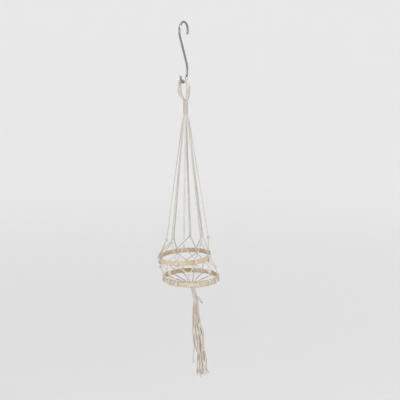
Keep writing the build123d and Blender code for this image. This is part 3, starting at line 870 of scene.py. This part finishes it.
number = 0
for quarter in range(4):
    rope = Cordage()
    for heel, landing in straight_runs(f"base_net_cords_{quarter + 1}"):
        direction = unit(landing - heel)
        angle = math.atan2(landing[1] - GATHER_TOP[1], landing[0] - GATHER_TOP[0])
        deep = 2.3 * MM if number % 2 else 1.3 * MM
        number += 1
        run = slack_line(heel, landing, **BASE_TIES)
        # From the run it turns down: (radius, angle, distance down) of the four points after it.
        turn = [
            gather_point(deep + 2.0 * MM, angle, 1.6 * MM),
            gather_point(deep + 0.6 * MM, angle, 5.0 * MM),
            gather_point(deep, angle + 0.15, 10 * MM),
            gather_point(deep, angle + 0.3, 15 * MM),
        ]
        line = evenly(np.concatenate((run, turn)), BEND_STEP)
        line[len(line) // 2:] = softened(line[len(line) // 2:], 6)
        lay_strand(rope, line)
    # The base strands take the cotton painted darker as painted shade.
    piece = rope.finish(f"base_net_{quarter + 1}", BASE_COTTON_PAINTED_SHADE, "cotton_cord")
    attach(piece, "lower_basket")
    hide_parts(f"base_net_cords_{quarter + 1}")


def bundle(name, place, radius, twist, downs):
    """Seven strands, one in the middle, that turn one radian in each twist millimetres down."""
    rope = Cordage()
    for k in range(7):
        out = 0.0 if k == 0 else radius
        line = np.array([place(out, k * math.pi / 3 + d / twist, d * MM) for d in downs])
        lay_strand(rope, line)
    return rope.finish(name, COTTON, "cotton_cord")


piece = bundle("gather_bundle", gather_point, 1.9 * MM, 40, np.linspace(3, 34.5, 50))
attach(piece, "lower_basket")
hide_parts("gather_core")


def coil(start, end, place, radius, turns):
    """Points of a tight coil. place gives the point for a radius, an angle and a distance along."""
    points, turn_points = [], 40
    for k in range(int(turns * turn_points) + 1):
        share = k / (turns * turn_points)
        angle = share * turns * 2 * math.pi
        slip = WRAP_WANDER * math.sin(angle * 0.37) * math.sin(angle + 0.8)
        # The last half turn at each end slips under the turns beside it.
        tuck = min(1.0, min(share, 1 - share) * turns * 2)
        points.append(place(radius - (1 - tuck) * 0.9 * MM, angle, start + (end - start) * share + slip))
    return np.array(points)


rope = Cordage()
line = coil(*GATHER_WRAPPED, gather_point, GATHER_COIL_RADIUS, GATHER_TURNS)
rope.tube(evenly(line, WRAP_STEP), WRAP_STRAND / 2, phase=0.4, sides=12, pitch=WRAP_PITCH, tone=0.0)
# The binding takes the cotton painted lighter as painted light.
piece = rope.finish("gather_binding", GATHER_COTTON_PAINTED_LIGHT, "wrap_cord")
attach(piece, "lower_basket")
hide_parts("gather_wrap")

rope = Cordage()
for control in (WRAP_TAIL_POINTS, WRAP_TAIL_PARTNER):
    line = evenly(spline_points(np.array(control) * MM), OPEN_STEP)
    lay_strand(rope, line, WRAP_TAIL_FRAYED, WRAP_TAIL_RADIUS)
# The tail takes the net's cotton, painted darker as painted shade.
piece = rope.finish("binding_tail", NET_COTTON_PAINTED_SHADE, "wrap_cord")
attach(piece, "lower_basket")
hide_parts("wrap_tail")


# ---- Neck -------------------------------------------------------------------------------------
def neck_point(radius, angle, down):
    right = NECK_AXIS_X + radius * math.cos(angle)
    return np.array((right, radius * math.sin(angle), neck_high[2] - down))


neck_length = neck_high[2] - neck_low[2]
rope = Cordage()
line = coil(0.9 * MM, neck_length - 0.9 * MM, neck_point, NECK_COIL_RADIUS, NECK_TURNS)
rope.tube(evenly(line, WRAP_STEP), WRAP_STRAND / 2, phase=1.1, sides=12, pitch=WRAP_PITCH)
piece = rope.finish("neck_binding", WRAP_COTTON, "wrap_cord")
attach(piece, "hanger")
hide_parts("neck_wrap")

piece = bundle("neck_bundle", neck_point, 2.05 * MM, 45, np.linspace(1, 24, 40))
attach(piece, "hanger")
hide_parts("neck_core")


# ---- Hanging loop: the eight cords folded over the hook's wire --------------------------------
loop_right = np.array((math.cos(HOOK_TURN), -math.sin(HOOK_TURN), 0.0))
loop_deep = np.array((math.sin(HOOK_TURN), math.cos(HOOK_TURN), 0.0))
hook_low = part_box("s_hook")[0]
WIRE = 4.0 * MM
WIRE_BEND = 12.5 * MM  # radius of the bend that the cords lie in
CORD_SPACING = 1.9 * MM  # from cord to cord along the wire
LAYER_SPACING = 1.88 * MM
LEG_SPACING = 1.72 * MM
LEG_DEPTH = 3.3 * MM
saddle = hook_low[2] + WIRE  # the top of the wire where the loop rests
neck_across = neck_axis @ loop_right
neck_deep = neck_axis @ loop_deep
neck_top = neck_high[2]

rope = Cordage()
for layer in (0, 1):
    for rank in (-1.5, -0.5, 0.5, 1.5):
        # The outer cords lie higher up the sides of the bend.
        lift = (rank * CORD_SPACING) ** 2 / (2 * WIRE_BEND)
        top = saddle + STRAND / 2 + 0.05 * MM + layer * LAYER_SPACING + lift
        spread, deep_leg = rank * LEG_SPACING, (layer - 0.5) * LEG_DEPTH
        jitter = [random.uniform(-0.25, 0.25) * MM for _ in range(8)]
        grow = layer * 1.6 * MM
        left, right = [], []
        for sign, side in ((-1, left), (1, right)):
            lead = neck_across + sign * (1.1 * MM) + spread * 0.34
            lean = 0.4 * MM if sign > 0 else 0.0  # the right side stands out a little further
            throat = sign * 5.6 * MM + neck_across * 0.6 + spread * 0.75
            shoulder = sign * (7.6 * MM + grow) + lean + spread * 0.45
            # (across, deep, height), from inside the neck up the leg and over the wire
            side += [
                (lead, neck_deep + deep_leg * 0.8, neck_top - 9 * MM),
                (lead + sign * 0.3 * MM, neck_deep + deep_leg * 0.85, neck_top - 2 * MM),
                (throat, deep_leg + jitter[0], neck_top + 5 * MM),
                (sign * 8.6 * MM + lean + spread + jitter[1], deep_leg + jitter[2], neck_top + 13 * MM),
                (sign * 8.9 * MM + lean + spread * 0.98, deep_leg + jitter[3], neck_top + 22 * MM),
                (shoulder, deep_leg * 0.5 + rank * MM, top - 4.6 * MM),
                (sign * (4.1 * MM + grow * 0.9) + spread * 0.1, rank * 1.8 * MM, top - 0.9 * MM),
                (sign * MM, rank * CORD_SPACING, top),
            ]
        control = left + right[::-1]
        line = np.array([loop_right * a + loop_deep * d + UP * z for a, d, z in control])
        line = evenly(spline_points(line), BEND_STEP)
        lay_strand(rope, line)
piece = rope.finish("loop_cords", COTTON, "cotton_cord")
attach(piece, "hanger")
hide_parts("hanging_loop")


# ---- Hook -------------------------------------------------------------------------------------
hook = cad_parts["s_hook"]
hook.data.materials.clear()
hook.data.materials.append(CHROME)


# ---- Studio: a pale bowl of a floor, glowing as painted light, and soft lights ----------------
def make_studio():
    """One pale surface that starts as the floor and curves up all round, glowing as painted light, more
    the farther out. Sizes in metres.
    """
    floor_height, floor_radius, bend_radius, wall_top, sides = -0.95, 2.2, 1.4, 3.2, 96
    material = bpy.data.materials.new("paper_painted_glow")
    material.use_nodes = True
    shader = material.node_tree.nodes["Principled BSDF"]
    place = material.node_tree.nodes.new("ShaderNodeTexCoord")
    # Painted light: the surface glows white, more the farther it is from the middle, to brighten the
    # backdrop.
    reach = material.node_tree.nodes.new("ShaderNodeVectorMath")
    reach.operation = "LENGTH"
    level = material.node_tree.nodes.new("ShaderNodeMapRange")
    level.inputs["From Min"].default_value = 0.8
    level.inputs["From Max"].default_value = 2.9
    level.inputs["To Min"].default_value = 0.02
    level.inputs["To Max"].default_value = 0.228
    shader.inputs["Base Color"].default_value = (0.56, 0.56, 0.56, 1.0)
    shader.inputs["Emission Color"].default_value = (1.0, 1.0, 1.0, 1.0)
    material.node_tree.links.new(place.outputs["Object"], reach.inputs[0])
    material.node_tree.links.new(reach.outputs["Value"], level.inputs["Value"])
    material.node_tree.links.new(level.outputs["Result"], shader.inputs["Emission Strength"])
    profile = [(1.2, floor_height), (floor_radius, floor_height)]
    for k in range(1, 13):
        turn = k / 12 * math.pi / 2
        out = floor_radius + bend_radius * math.sin(turn)
        profile.append((out, floor_height + bend_radius * (1 - math.cos(turn))))
    profile.append((floor_radius + bend_radius, wall_top))
    points, faces = [(0.0, 0.0, floor_height)], []
    around = [k * 2 * math.pi / sides for k in range(sides)]
    for radius, height in profile:
        points += [(radius * math.cos(a), radius * math.sin(a), height) for a in around]
    faces += [(0, 1 + k, 1 + (k + 1) % sides) for k in range(sides)]
    for ring in range(len(profile) - 1):
        base = 1 + ring * sides
        faces += [
            (base + k, base + sides + k, base + sides + (k + 1) % sides, base + (k + 1) % sides)
            for k in range(sides)
        ]
    mesh = bpy.data.meshes.new("studio_floor")
    mesh.from_pydata(points, [], faces)
    mesh.polygons.foreach_set("use_smooth", [True] * len(mesh.polygons))
    mesh.materials.append(material)
    floor = bpy.data.objects.new("studio_floor", mesh)
    bpy.context.collection.objects.link(floor)


def make_light(name, place, aim, size, power, colour):
    data = bpy.data.lights.new(name, "AREA")
    data.size = size
    data.energy = power
    data.color = colour
    light = bpy.data.objects.new(name, data)
    light.location = place
    light.rotation_euler = (Vector(aim) - Vector(place)).to_track_quat("-Z", "Y").to_euler()
    bpy.context.collection.objects.link(light)


make_studio()
planter_middle = (0.02, 0.0, -0.33)
make_light("key", (1.5, -1.3, 1.3), planter_middle, 0.9, 36.0, (1.0, 0.99, 0.975))
make_light("fill", (-1.3, -2.0, 0.1), planter_middle, 1.6, 28.0, (0.97, 0.985, 1.0))
make_light("top", (0.0, 0.3, 2.2), planter_middle, 2.0, 19.0, (1.0, 1.0, 1.0))
world = bpy.data.worlds.new("studio")
world.use_nodes = True
world.node_tree.nodes["Background"].inputs["Color"].default_value = (1.0, 1.0, 1.0, 1.0)
world.node_tree.nodes["Background"].inputs["Strength"].default_value = 0.8
bpy.context.scene.world = world
bpy.context.scene.view_settings.view_transform = "Standard"
